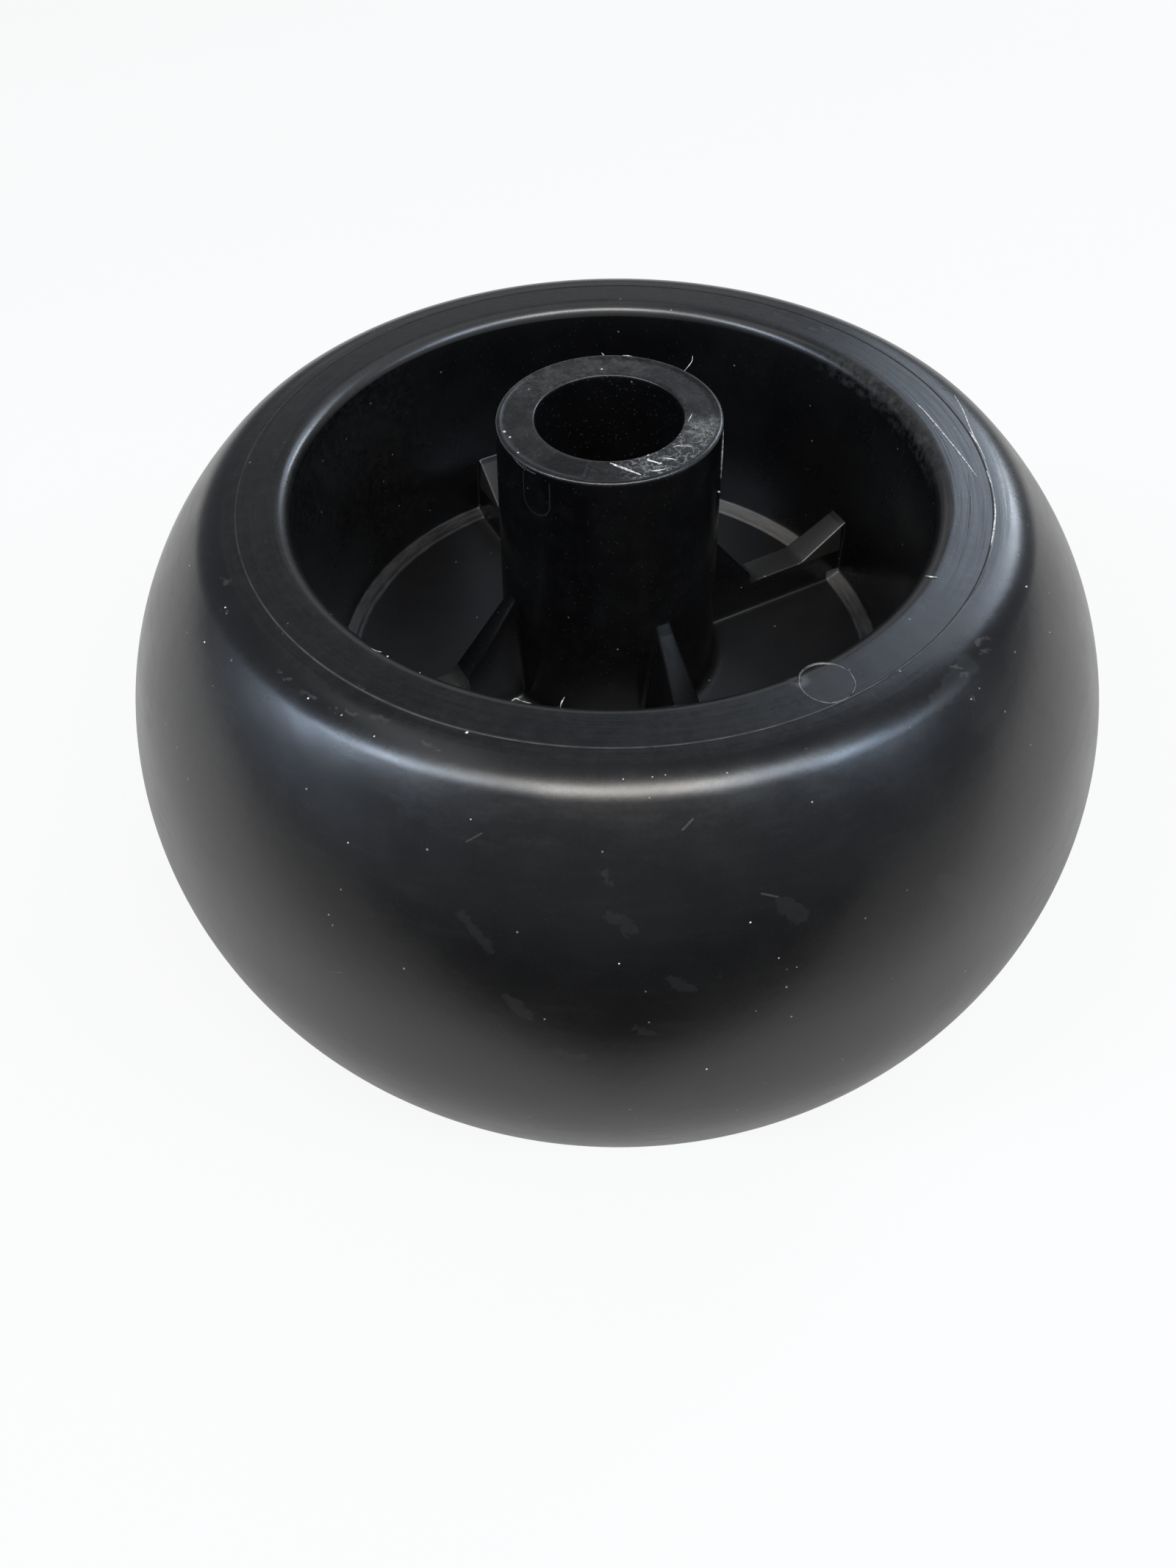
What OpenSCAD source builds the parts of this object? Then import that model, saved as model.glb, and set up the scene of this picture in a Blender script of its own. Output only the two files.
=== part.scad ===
// Deck roller of a mower: one moulded piece with a crowned tread, a cup in each side
// and a hub tube on four ribs. Millimetres, +Z along the axle, origin at the bore's centre.

/* [Tread] */
// Outside diameter at the crown
tread_d = 127; // [118:0.5:150]
// Width between the two rim faces
tread_w = 69.85; // [60:0.05:76]
// Radius of the crown seen in section
crown_r = 47; // [43:0.5:60]
// Radius of the shoulder between the crown and a rim face
shoulder_r = 4; // [1:0.5:6]

/* [Cup] */
// Diameter of the mouth, measured at the rim face
mouth_d = 77.4; // [74:0.1:84]
// Radius of the mouth's rounded edge
mouth_edge = 1.8; // [0.5:0.1:2.5]
// Diameter at the foot of the cup's wall
foot_d = 72.8; // [70:0.1:74]
// Diameter of the flat floor, inside the sloped ring
floor_d = 69; // [64:0.5:69.5]
// Rise of the sloped ring from the floor to the foot of the wall
ring_h = 0.8; // [0.4:0.1:2]
// Height of the small step where the sloped ring starts
step_h = 0.25; // [0.1:0.05:0.35]
// Thickness of the web between the two floors
web_t = 10; // [6:0.5:14]

/* [Hub] */
// Length of the hub tube, which stands proud of both rim faces
hub_l = 85.7; // [77:0.1:96]
// Outside diameter at the ends of the tube
hub_d = 26.6; // [23:0.1:32]
// Draft of the tube's outer wall, in degrees
hub_draft = 1.1; // [0:0.1:1.5]
// Fillet where the tube meets the floor
hub_fillet = 1.6; // [0.5:0.1:3]
// Radius of the outer edge at the tube's ends
hub_edge = 0.4; // [0.2:0.1:1]
// Diameter of the axle bore
bore_d = 17.5; // [12:0.1:19]

/* [Ribs] */
// Number of ribs in each cup
rib_count = 4; // [3:1:6]
// Thickness of a rib at the floor
rib_t = 4.8; // [3:0.1:6]
// Draft of each side of a rib, in degrees
rib_draft = 5; // [0:0.5:6]
// Height above the floor where a rib meets the hub
rib_hub_h = 15.5; // [10:0.5:22]
// Height of the low middle stretch above the floor
rib_low_h = 4.6; // [3:0.1:9]
// Height above the floor where a rib meets the cup's wall
rib_wall_h = 8.8; // [7:0.1:18]
// Run of the steep slope beside the hub
rib_hub_run = 8.3; // [5:0.5:9]
// Run of the gusset beside the cup's wall
rib_wall_run = 7; // [5:0.1:9]

/* [Ejector mark] */
// Diameter of the round mark that an ejector pin left on the upper rim face
mark_d = 5.6; // [3:0.2:8]
// Depth of the mark
mark_depth = 0.15; // [0.05:0.05:0.5]
// Distance from the cup's wall out to the mark's centre
mark_out = 3.3; // [2.5:0.1:5]
// Direction of the mark from the axis, in degrees
mark_az = 272.5; // [0:0.5:359.5]

/* [Hidden] */
$fn = 96;
rim_z = tread_w / 2;
floor_z = web_t / 2;
end_z = hub_l / 2;
crown_x = tread_d / 2 - crown_r;
// The shoulder's arc touches the rim face and the crown's arc
shoulder_z = rim_z - shoulder_r;
shoulder_x = crown_x + sqrt(pow(crown_r - shoulder_r, 2) - pow(shoulder_z, 2));
shoulder_az = atan2(shoulder_z, shoulder_x - crown_x);
foot_z = floor_z + ring_h;
wall_draft = atan2((mouth_d - foot_d) / 2, rim_z - foot_z);
step_w = 2 * step_h;
hub_r = hub_d / 2;
bore_r = bore_d / 2;
hub_wall = hub_r - bore_r;
rib_slope = (rib_hub_h - rib_low_h) / rib_hub_run;
gusset_slope = (rib_wall_h - rib_low_h) / rib_wall_run;

// Points on a circle's arc, from angle a0 to angle a1 in n steps
function arc(centre, r, a0, a1, n) =
    [for (i = [0:n]) let (a = a0 + (a1 - a0) * i / n) centre + r * [cos(a), sin(a)]];

// Radius of the hub's drafted outer wall, and of the cup's drafted wall, at height z
function hub_at(z) = hub_r + (end_z - z) * tan(hub_draft);
function wall_at(z) = foot_d / 2 + (z - foot_z) * tan(wall_draft);

// Upper half of the section, from the bore's edge out to the crown
function hub_end() =
    let (z = end_z - hub_edge)
    arc([hub_at(z) - hub_edge / cos(hub_draft), z], hub_edge, 90, hub_draft, 4);
function hub_foot() =
    let (z = floor_z + hub_fillet)
    arc([hub_at(z) + hub_fillet / cos(hub_draft), z], hub_fillet, 180 + hub_draft, 270, 6);
function floor_edge() = [
    [floor_d / 2, floor_z],
    [floor_d / 2 + step_h, floor_z + step_h],
    [floor_d / 2 + step_w, floor_z + step_h],
    [foot_d / 2, foot_z]
];
function mouth() =
    let (z = rim_z - mouth_edge)
    arc([wall_at(z) + mouth_edge / cos(wall_draft), z], mouth_edge, 180 - wall_draft, 90, 6);
function shoulder() = arc([shoulder_x, shoulder_z], shoulder_r, 90, shoulder_az, 8);
function crown() = arc([crown_x, 0], crown_r, shoulder_az, 0, 20);

function half_section() = concat(
    [[bore_r, end_z]], hub_end(), hub_foot(), floor_edge(), mouth(), shoulder(),
    [for (i = [1:20]) crown()[i]]);
function mirrored(points) = [for (i = [len(points) - 2:-1:0]) [points[i][0], -points[i][1]]];

module turned_body() {
    rotate_extrude() polygon(concat(half_section(), mirrored(half_section())));
}

// Everything on one side of a rib's face: the face passes through half the rib's
// thickness at the floor and leans in by the draft
module rib_side() {
    size = 4 * tread_d;
    translate([0, rib_t / 2, floor_z])
        rotate([rib_draft, 0, 0])
        translate([-size / 2, -size, -size / 2]) cube(size);
}

// One rib along +X in the upper cup: steep beside the hub, low in the middle,
// and rising again as a gusset on the cup's wall. Its ends and foot reach into the body
module rib() {
    hub_x = hub_at(floor_z);
    wall_x = wall_at(floor_z + rib_wall_h);
    in_hub = hub_wall / 2;
    in_wall = 2;
    intersection() {
        translate([0, tread_w / 2, 0]) rotate([90, 0, 0]) linear_extrude(tread_w) polygon([
            [hub_x - in_hub, 0],
            [hub_x - in_hub, floor_z + rib_hub_h + in_hub * rib_slope],
            [hub_x + rib_hub_run, floor_z + rib_low_h],
            [wall_x - rib_wall_run, floor_z + rib_low_h],
            [wall_x + in_wall, floor_z + rib_wall_h + in_wall * gusset_slope],
            [wall_x + in_wall, 0]
        ]);
        rib_side();
        mirror([0, 1, 0]) rib_side();
    }
}

module ribs() {
    for (i = [0:rib_count - 1]) rotate(360 / rib_count * i) rib();
}

module ejector_mark() {
    rotate(mark_az) translate([mouth_d / 2 + mark_out, 0, rim_z - mark_depth])
        cylinder(d = mark_d, h = mark_depth + 1);
}

module roller() {
    color("#1d1e21") difference() {
        union() {
            turned_body();
            ribs();
            mirror([0, 0, 1]) ribs();
        }
        ejector_mark();
    }
}

roller();
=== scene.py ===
# %% [markdown]
# # The deck roller of a mower, dressed for its picture
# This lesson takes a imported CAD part, a moulded plastic roller, and gives it the looks of a
# real one: soft moulded edges, satin black polyethylene, and the small marks that a mould and
# a workshop leave. The CAD model is loaded first and stays fixed. Everything here is in metres
# and in its frame: +Z runs along the axle, and the origin is the middle of the bore.

# %% Load the CAD part as a fixed frame
import math
import bmesh
import bpy
import numpy as np
from mathutils import Matrix, Vector


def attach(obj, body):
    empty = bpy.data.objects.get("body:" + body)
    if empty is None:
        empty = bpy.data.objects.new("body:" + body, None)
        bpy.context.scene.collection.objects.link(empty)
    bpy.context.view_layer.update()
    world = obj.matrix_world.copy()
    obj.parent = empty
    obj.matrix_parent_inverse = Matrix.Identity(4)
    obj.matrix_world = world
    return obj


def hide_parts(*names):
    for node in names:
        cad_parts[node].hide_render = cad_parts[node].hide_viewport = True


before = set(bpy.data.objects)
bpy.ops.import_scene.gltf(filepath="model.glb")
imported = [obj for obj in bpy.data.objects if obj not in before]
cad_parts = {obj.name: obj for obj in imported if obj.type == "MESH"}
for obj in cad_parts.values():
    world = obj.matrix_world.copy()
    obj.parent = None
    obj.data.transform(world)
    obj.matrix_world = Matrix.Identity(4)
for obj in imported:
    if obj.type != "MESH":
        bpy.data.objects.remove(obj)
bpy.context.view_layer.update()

# %% [markdown]
# ## The camera
# The picture was taken close by, from above and in front, so the near side of the tread looks
# large and the far rim small. A pinhole camera was fitted to the ellipses of the rim, the mouth,
# the floor and the hub. It gives the distance, the height angle and the focal length, and a small
# shift, because the picture's frame isn't centred on the lens's axis.

# %% The camera from its fitted numbers
IMAGE_W, IMAGE_H = 1600, 2133
FOCAL_PX, CENTRE_PX = 1790.8, (727.7, 906.6)
DISTANCE, HEIGHT_ANGLE, AIM_Z = 0.18279, 0.7806, 0.00153
TURN, YAW, ROLL = math.radians(29.12), -0.0553, 0.0051


def fitted_camera():
    """A camera on a circle round the axle. Forward, right and up are worked out for a camera
    straight in front (-Y), turned by the yaw and then by the roll, and the whole is turned
    about Z so that the ribs come where the picture shows them."""
    e = HEIGHT_ANGLE
    place = np.array([0, -DISTANCE * math.cos(e), AIM_Z + DISTANCE * math.sin(e)])
    forward = np.array([0, math.cos(e), -math.sin(e)])
    right, up = np.array([1.0, 0, 0]), np.array([0, math.sin(e), math.cos(e)])
    forward, right = (math.cos(YAW) * forward + math.sin(YAW) * right,
                      math.cos(YAW) * right - math.sin(YAW) * forward)
    right, up = (math.cos(ROLL) * right + math.sin(ROLL) * up,
                 math.cos(ROLL) * up - math.sin(ROLL) * right)
    axes = np.stack([right, up, -forward, place], 1)
    back = Matrix.Rotation(-TURN, 4, "Z")
    lens = bpy.data.cameras.new("camera")
    lens.sensor_fit = "HORIZONTAL"
    lens.sensor_width = 36.0
    lens.lens = FOCAL_PX * lens.sensor_width / IMAGE_W
    lens.shift_x = (IMAGE_W / 2 - CENTRE_PX[0]) / IMAGE_W
    lens.shift_y = (CENTRE_PX[1] - IMAGE_H / 2) / IMAGE_W
    lens.clip_start = 0.01
    camera = bpy.data.objects.new("camera", lens)
    camera.matrix_world = back @ Matrix([list(row) for row in axes] + [[0, 0, 0, 1]])
    bpy.context.scene.collection.objects.link(camera)
    return camera


bpy.context.scene.camera = fitted_camera()
bpy.context.scene.view_settings.view_transform = "Standard"
print("camera at", [round(v, 3) for v in bpy.context.scene.camera.matrix_world.translation],
      "lens", round(bpy.context.scene.camera.data.lens, 1), "mm")

# %% [markdown]
# ## Two helpers for materials
# A colour is easiest to write as the hex value that a paint program shows, but shaders work with
# linear light, so one function turns the one into the other. Another adds a node to a tree, sets
# it up and plugs it in, so that a material reads as a short recipe.

# %% Colour and node helpers


def srgb(hex_value, alpha=1.0):
    """Linear RGBA of an sRGB hex value: each channel is divided by 12.92 below 0.04045, and
    otherwise raised to the power 2.4 after adding 0.055 and dividing by 1.055."""
    c = np.array([int(hex_value[i:i + 2], 16) for i in (1, 3, 5)]) / 255
    c = np.where(c <= 0.04045, c / 12.92, ((c + 0.055) / 1.055) ** 2.4)
    return (*c.tolist(), alpha)


def add_node(tree, kind, settings=None, inputs=None):
    """Adds a node of the kind, sets its attributes, and fills its inputs by name or number: a
    value is written into the socket, and a node's first output or a given output is linked to
    it. Returns the node."""
    made = tree.nodes.new(kind)
    for name, value in (settings or {}).items():
        setattr(made, name, value)
    for name, value in (inputs or {}).items():
        if isinstance(value, bpy.types.Node):
            value = value.outputs[0]
        if isinstance(value, bpy.types.NodeSocket):
            tree.links.new(value, made.inputs[name])
        else:
            made.inputs[name].default_value = value
    return made


print("black polyethylene in linear light:", [round(v, 4) for v in srgb("#222426")])

# %% [markdown]
# ## The roller's section
# The roller is one moulding, and apart from its ribs it is a turned shape. So its surface is a
# closed line in section, from the bore over the hub's end, down the hub, across the floor of the
# cup, up the wall, over the rim and the shoulder and down the crown, and the same mirrored below.
# The line is written as points, close together where it bends, because a soft highlight on a
# rounded edge only looks right if the edge is really there.

# %% Points of the section's upper half, in millimetres
TREAD_R, RIM_Z, CROWN_R, SHOULDER_R = 63.5, 34.925, 47.0, 7.0
MOUTH_R, MOUTH_EDGE, FOOT_R, FLOOR_R = 38.7, 1.8, 36.4, 34.5
FLOOR_Z, RING_H, STEP = 5.0, 0.8, 0.25
HUB_R, HUB_DRAFT, HUB_FILLET, HUB_EDGE = 13.3, math.tan(math.radians(1.1)), 1.6, 0.4
BORE_R, BORE_EDGE, END_Z, END_DISH = 8.75, 0.2, 42.85, 0.14
LINE_R, LINE_W, LINE_H = 44.88, 0.12, 0.05
# The shoulder's circle touches the flat rim and the crown's circle
CROWN_X, SHOULDER_Z = TREAD_R - CROWN_R, RIM_Z - SHOULDER_R
SHOULDER_X = CROWN_X + math.sqrt((CROWN_R - SHOULDER_R) ** 2 - SHOULDER_Z ** 2)
SHOULDER_END = math.atan2(SHOULDER_Z, SHOULDER_X - CROWN_X)


def arc(cx, cz, radius, start, end, count):
    """Points on a circle: the centre plus the radius times the cosine and sine of angles that
    run evenly from start to end, in degrees."""
    a = np.radians(np.linspace(start, end, count))
    return np.stack([cx + radius * np.cos(a), cz + radius * np.sin(a)], 1)


def hub_at(z):
    """Radius of the hub's wall, which widens by its draft from the end down to the floor."""
    return HUB_R + (END_Z - np.asarray(z, float)) * HUB_DRAFT


def wall_at(z):
    """Radius of the cup's wall, which widens evenly from its foot up to the mouth."""
    foot_z = FLOOR_Z + RING_H
    return FOOT_R + (np.asarray(z, float) - foot_z) * (MOUTH_R - FOOT_R) / (RIM_Z - foot_z)


def outside_at(r):
    """Height of the outer skin at a distance from the axle: the flat rim, then the shoulder's
    circle, then the crown's, each the centre's height plus the root of the radius squared
    minus the distance to the centre squared."""
    r = np.asarray(r, float)
    shoulder = SHOULDER_Z + np.sqrt(np.clip(SHOULDER_R ** 2 - (r - SHOULDER_X) ** 2, 0, None))
    crown = np.sqrt(np.clip(CROWN_R ** 2 - (r - CROWN_X) ** 2, 0, None))
    crown_from = SHOULDER_X + SHOULDER_R * math.cos(SHOULDER_END)
    return np.where(r < SHOULDER_X, RIM_Z, np.where(r < crown_from, shoulder, crown))


def upper_section(hub_join, wall_join):
    """The section's points from mid-bore to the crown's middle, and the row numbers where a rib
    joins the hub and the wall. Each stretch is a line or an arc between named sizes."""
    turn = math.degrees(SHOULDER_END)
    hub_z = np.array([42.0, 39.5, 36.5, 33.5, 30.5, 28, 26, 24.2, 22.8, 21.8, hub_join + 0.35])
    rib_z = np.array([hub_join, hub_join - 0.35, 19.6, 18.2, 16.6, 15, 13.4, 11.8, 10.3, 8.9, 7.7])
    floor_r = np.array([16.3, 17.2, 18.2, 19.1, 19.5, 19.9, 20.8, 22, 23.4, 25, 26.6, 28.2, 29.6, 30.7,
                        31.2, 31.6, 32.4, 33.4, 34.2, 34.45])
    ring = np.array([[FLOOR_R, FLOOR_Z], [FLOOR_R + 0.04, FLOOR_Z + 0.05], [FLOOR_R + STEP, FLOOR_Z + STEP],
                     [FLOOR_R + STEP + 0.05, FLOOR_Z + STEP], [FLOOR_R + 2 * STEP, FLOOR_Z + STEP],
                     [35.4, FLOOR_Z + 0.407], [35.9, FLOOR_Z + 0.603], [FOOT_R - 0.25, FLOOR_Z + 0.702],
                     [FOOT_R - 0.05, FLOOR_Z + 0.80], [wall_at(6.05) - 0.01, 6.05]])
    wall_z = np.array([6.4, 7.1, 8.1, 9.2, 10.3, 11.4, 12.4, 13.2, wall_join - 0.25])
    high_z = np.array([wall_join, wall_join + 0.25, 14.9, 17, 20, 23.5, 27, 30, 32.2])
    line = np.array([[-2, 0], [-1, 0], [-0.4, 0.8], [0, 1], [0.4, 0.8], [1, 0], [2, 0]]) * [LINE_W, LINE_H]
    parts = [
        np.stack([np.full(6, BORE_R), [0, 14, 26, 35, 39.5, 41.6]], 1),
        arc(BORE_R + BORE_EDGE, END_Z - END_DISH - BORE_EDGE, BORE_EDGE, 180, 90, 4),
        np.stack([np.linspace(9.5, 12.5, 9), np.full(9, END_Z - END_DISH)], 1),
        arc(HUB_R - HUB_EDGE, END_Z - HUB_EDGE, HUB_EDGE, 115, 0, 6),
        np.stack([hub_at(hub_z), hub_z], 1),
        np.stack([hub_at(rib_z), rib_z], 1),
        arc(hub_at(6.6) + HUB_FILLET, FLOOR_Z + HUB_FILLET, HUB_FILLET, 181, 270, 7),
        np.stack([floor_r, np.full(len(floor_r), FLOOR_Z)], 1),
        ring,
        np.stack([wall_at(wall_z), wall_z], 1),
        np.stack([wall_at(high_z), high_z], 1),
        arc(MOUTH_R + MOUTH_EDGE, RIM_Z - MOUTH_EDGE, MOUTH_EDGE, 176, 90, 9),
        np.stack([[41.4, 42.4, 43.4, 44.3], np.full(4, RIM_Z)], 1),
        line + [LINE_R, RIM_Z],
        arc(SHOULDER_X, SHOULDER_Z, SHOULDER_R, 90, turn, 15),
        arc(CROWN_X, 0, CROWN_R, turn, 0, 30)[1:],
    ]
    starts = np.cumsum([0] + [len(p) for p in parts])
    return np.concatenate(parts), int(starts[5]), int(starts[10])


RIB_HUB_Z, RIB_WALL_Z = 20.9, 13.8
SECTION, HUB_ROW, WALL_ROW = upper_section(RIB_HUB_Z, RIB_WALL_Z)
print("upper half of the section:", len(SECTION), "points, ribs join at rows", HUB_ROW, "and", WALL_ROW)

# %% [markdown]
# ## The ribs
# Four ribs stand in each cup. Seen from the side, a rib drops steeply from the hub, runs low
# across the floor and rises again as a gusset on the wall. Its faces lean in by five degrees, so
# that it leaves the mould, and its edges and foot are softly rounded.
# A rib could be a separate block pushed into the cup, but then no fillet would join them. Here
# the ribs grow out of the same grid: between the two joining rows, each point of the section gets
# a partner on the rib's top line, and the columns near the rib climb from the one to the other.

# %% The rib's top line, matched to the section
RIB_HALF, RIB_LEAN = 2.4, math.tan(math.radians(5.0))
RIB_EDGE, RIB_FOOT = 0.32, 0.45
RIB_TOP = np.array([[float(hub_at(RIB_HUB_Z)), RIB_HUB_Z], [22.33, 9.6], [30.03, 9.6],
                    [float(wall_at(RIB_WALL_Z)), RIB_WALL_Z]])


def arc_length(points):
    """Distance along a line of points, from its first point to each one."""
    return np.concatenate([[0], np.cumsum(np.hypot(*np.diff(points, axis=0).T))])


def rounded(points, reach):
    """The line with each inner corner replaced by a quadratic curve that starts and ends at
    the given reach from the corner and has the corner as its middle control point."""
    out = [points[:1]]
    for before, corner, after in zip(points[:-2], points[1:-1], points[2:]):
        a = corner + (before - corner) * reach / np.linalg.norm(before - corner)
        b = corner + (after - corner) * reach / np.linalg.norm(after - corner)
        t = np.linspace(0, 1, 9)[:, None]
        out.append((1 - t) ** 2 * a + 2 * t * (1 - t) * corner + t ** 2 * b)
    return np.concatenate(out + [points[-1:]])


def rib_partners():
    """For each row between the joints, the point of the rib's top line that belongs to it: both
    lines are measured by arc length, and three stretches are matched in proportion."""
    base = SECTION[HUB_ROW:WALL_ROW + 1]
    top = rounded(RIB_TOP, 0.7)
    s, u = arc_length(base), arc_length(top)
    knots_s = [0, s[np.argmin(abs(base[:, 0] - 19.5) + abs(base[:, 1] - FLOOR_Z))],
               s[np.argmin(abs(base[:, 0] - 31.2) + abs(base[:, 1] - FLOOR_Z))], s[-1]]
    corners = arc_length(RIB_TOP)
    knots_u = corners * u[-1] / corners[-1]
    at = np.interp(s, knots_s, knots_u)
    return base, np.stack([np.interp(at, u, top[:, 0]), np.interp(at, u, top[:, 1])], 1)


BASE, TOP = rib_partners()
print("rib rows:", len(BASE), "tallest", round(float(np.hypot(*(TOP - BASE).T).max()), 2), "mm above the section")

# %% [markdown]
# ## One closed grid for the whole roller
# The grid's rows follow the section and its columns go round the axle. Half a quarter turn, from
# the middle of a rib to the middle of the bay, is worked out first. Mirroring it and turning it
# four times gives the full turn, and mirroring the rows gives the lower half.

# %% Columns of half a quarter turn
HALF_COLS = 32
EDGE_STEPS = np.radians([90, 60, 30, 0])
SIDE_STEPS = np.array([1 / 3, 2 / 3])
FOOT_STEPS = np.radians([0, 30, 60, 90])


def half_sector():
    """Radius, height and azimuth of every row and column from a rib's middle (column 0) to the
    bay's middle. In the rib's rows a column has a share w of the way from the section to the
    top line: the flat top has w = 1, the rounded edge and the foot follow quarter circles, and
    the side runs straight between them. Its azimuth is the arcsine of its distance from the
    rib's middle plane over its radius. Away from the ribs the columns ease to an even spread."""
    rows, cols = len(SECTION), HALF_COLS + 1
    even = np.linspace(0, math.pi / 4, cols)
    radius = np.repeat(SECTION[:, :1], cols, 1)
    height = np.repeat(SECTION[:, 1:], cols, 1)
    azimuth = np.repeat(even[None], rows, 0)

    full = np.hypot(*(TOP - BASE).T)[:, None]
    edge = np.minimum(RIB_EDGE, 0.4 * full) / np.maximum(full, 1e-6)
    foot = np.minimum(RIB_FOOT, 0.4 * full) / np.maximum(full, 1e-6)
    w_edge = 1 - edge * (1 - np.sin(EDGE_STEPS))
    w_foot = foot * (1 - np.sin(FOOT_STEPS))
    w_side = w_edge[:, -1:] + (w_foot[:, :1] - w_edge[:, -1:]) * SIDE_STEPS
    w = np.concatenate([np.ones_like(full), w_edge, w_side, w_foot], 1)
    z = BASE[:, 1:] + w * (TOP - BASE)[:, 1:]
    r = BASE[:, :1] + w * (TOP - BASE)[:, :1]
    half = RIB_HALF - (z - FLOOR_Z) * RIB_LEAN
    out = np.concatenate([[0], -RIB_EDGE * (1 - np.cos(EDGE_STEPS)), np.zeros(2), RIB_FOOT * (1 - np.cos(FOOT_STEPS))])
    spread = 0.03 * np.array([0, 0, 0, 0, 0, 1, 2, 3, 3, 3, 3])
    side = half + out[None] + spread
    side[:, 0] = 0
    n = side.shape[1]
    az = np.arcsin(np.clip(side / r, -1, 1))
    bay = az[:, -1:] + (math.pi / 4 - az[:, -1:]) * np.linspace(0, 1, cols - n + 1)[1:]
    span = slice(HUB_ROW, WALL_ROW + 1)
    radius[span, :n], height[span, :n] = r, z
    azimuth[span] = np.concatenate([az, bay], 1)

    up = np.arange(HUB_ROW)[::-1] / 9.0
    ease = np.clip(1 - up, 0, 1) ** 2
    azimuth[:HUB_ROW] = even + ease[:, None] * (azimuth[HUB_ROW] - even)
    down = np.arange(1, rows - WALL_ROW) / 14.0
    ease = np.clip(1 - down, 0, 1) ** 2
    azimuth[WALL_ROW + 1:] = even + ease[:, None] * (azimuth[WALL_ROW] - even)
    return radius, height, azimuth


HALF = half_sector()
print("half a quarter turn:", HALF[0].shape, "rows and columns")

# %% Unfold it to the whole roller


def unfold(radius, height, azimuth):
    """The full grid. Columns: the half sector mirrored about the rib, then repeated at each
    quarter turn. Rows: the upper half, then the same rows backwards with the height negated."""
    wide = [np.concatenate([sign * a[:, 1:-1][:, ::-1], a], 1)
            for a, sign in ((radius, 1), (height, 1), (azimuth, -1))]
    r, z, a = [np.concatenate([g + (k * math.pi / 2 if i == 2 else 0) for k in range(4)], 1)
               for i, g in enumerate(wide)]
    r, a = [np.concatenate([g, g[1:-1][::-1]]) for g in (r, a)]
    z = np.concatenate([z, -z[1:-1][::-1]])
    return np.stack([r * np.cos(a), r * np.sin(a), z], -1)


def grid_faces(points, close_rows=False, close_cols=False, facing=None):
    """Faces of a grid of points: each square of four neighbours, and a closed direction joins
    its last line to its first. They are turned round if they look inwards: where the signed
    volume (a third of the sum of centre times area vector) is negative, or for an open sheet
    where its area vectors point away from the facing direction."""
    rows, cols = points.shape[:2]
    i = np.arange(rows if close_rows else rows - 1)[:, None]
    j = np.arange(cols if close_cols else cols - 1)[None]
    i2, j2 = (i + 1) % rows, (j + 1) % cols
    faces = np.stack([i * cols + j, i * cols + j2, i2 * cols + j2, i2 * cols + j], -1).reshape(-1, 4)
    p = points.reshape(-1, 3)[faces]
    area = np.cross(p[:, 2] - p[:, 0], p[:, 3] - p[:, 1]) / 2
    middle = p.mean(1) - p.mean((0, 1))
    outward = (area @ np.array(facing)).sum() if facing else (middle * area).sum()
    return faces if outward > 0 else faces[:, ::-1]


def add_mesh(name, grids, weld=False):
    """A smooth mesh from one or more grids in millimetres, each a pair of points and faces.
    Welding merges points that lie together, which closes the ends of strands and crumbs."""
    starts = np.cumsum([0] + [points.size // 3 for points, _ in grids])
    co = np.concatenate([points.reshape(-1, 3) for points, _ in grids]) / 1000
    faces = np.concatenate([f + s for (_, f), s in zip(grids, starts)])
    mesh = bpy.data.meshes.new(name)
    mesh.from_pydata(co, [], faces)
    if weld:
        work = bmesh.new()
        work.from_mesh(mesh)
        bmesh.ops.remove_doubles(work, verts=work.verts, dist=1e-7)
        work.to_mesh(mesh)
        work.free()
    mesh.polygons.foreach_set("use_smooth", np.ones(len(mesh.polygons), bool))
    mesh.update()
    made = bpy.data.objects.new(name, mesh)
    bpy.context.scene.collection.objects.link(made)
    return made


points = unfold(*HALF)
roller = add_mesh("roller_moulding", [(points, grid_faces(points, close_rows=True, close_cols=True))])
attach(roller, "root")
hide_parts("roller")
print("roller moulding:", len(roller.data.vertices), "points,", 2 * len(roller.data.polygons), "triangles")

# %% [markdown]
# ## What the mould left behind
# A moulded part leaves its tool with flash: thin plastic that crept into the joints between the
# mould's inserts. Most is trimmed off with a knife, which leaves wisps, slivers and crumbs. They
# are small, but they catch the light, so they say that this is plastic and how it was made. Each
# is a round strand along a path, thin at its ends, half sunk in the surface that it grew from.

# %% Strands and places on the roller


def spot_on(radius, azimuth, z):
    """A point in millimetres from its distance to the axle, its direction in degrees and its
    height. Lists of numbers give a row of points."""
    radius, azimuth, z = np.broadcast_arrays(*(np.asarray(v, float) for v in (radius, azimuth, z)))
    a = np.radians(azimuth)
    return np.stack([radius * np.cos(a), radius * np.sin(a), z], -1)


def on_skin(radius, azimuth):
    """Points on the rim, the shoulder or the upper half of the crown."""
    return spot_on(radius, azimuth, outside_at(radius))


def eased(points, count):
    """A smooth line through a few points: each coordinate is blended between neighbours with
    the weights of a Catmull-Rom curve."""
    p = np.concatenate([2 * points[:1] - points[1:2], points, 2 * points[-1:] - points[-2:-1]])
    at = np.linspace(0, len(points) - 1.000001, count)
    k, t = at.astype(int), (at % 1)[:, None]
    a, b, c, d = p[k], p[k + 1], p[k + 2], p[k + 3]
    return b + 0.5 * t * (c - a + t * (2 * a - 5 * b + 4 * c - d + t * (3 * (b - c) + d - a)))


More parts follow.
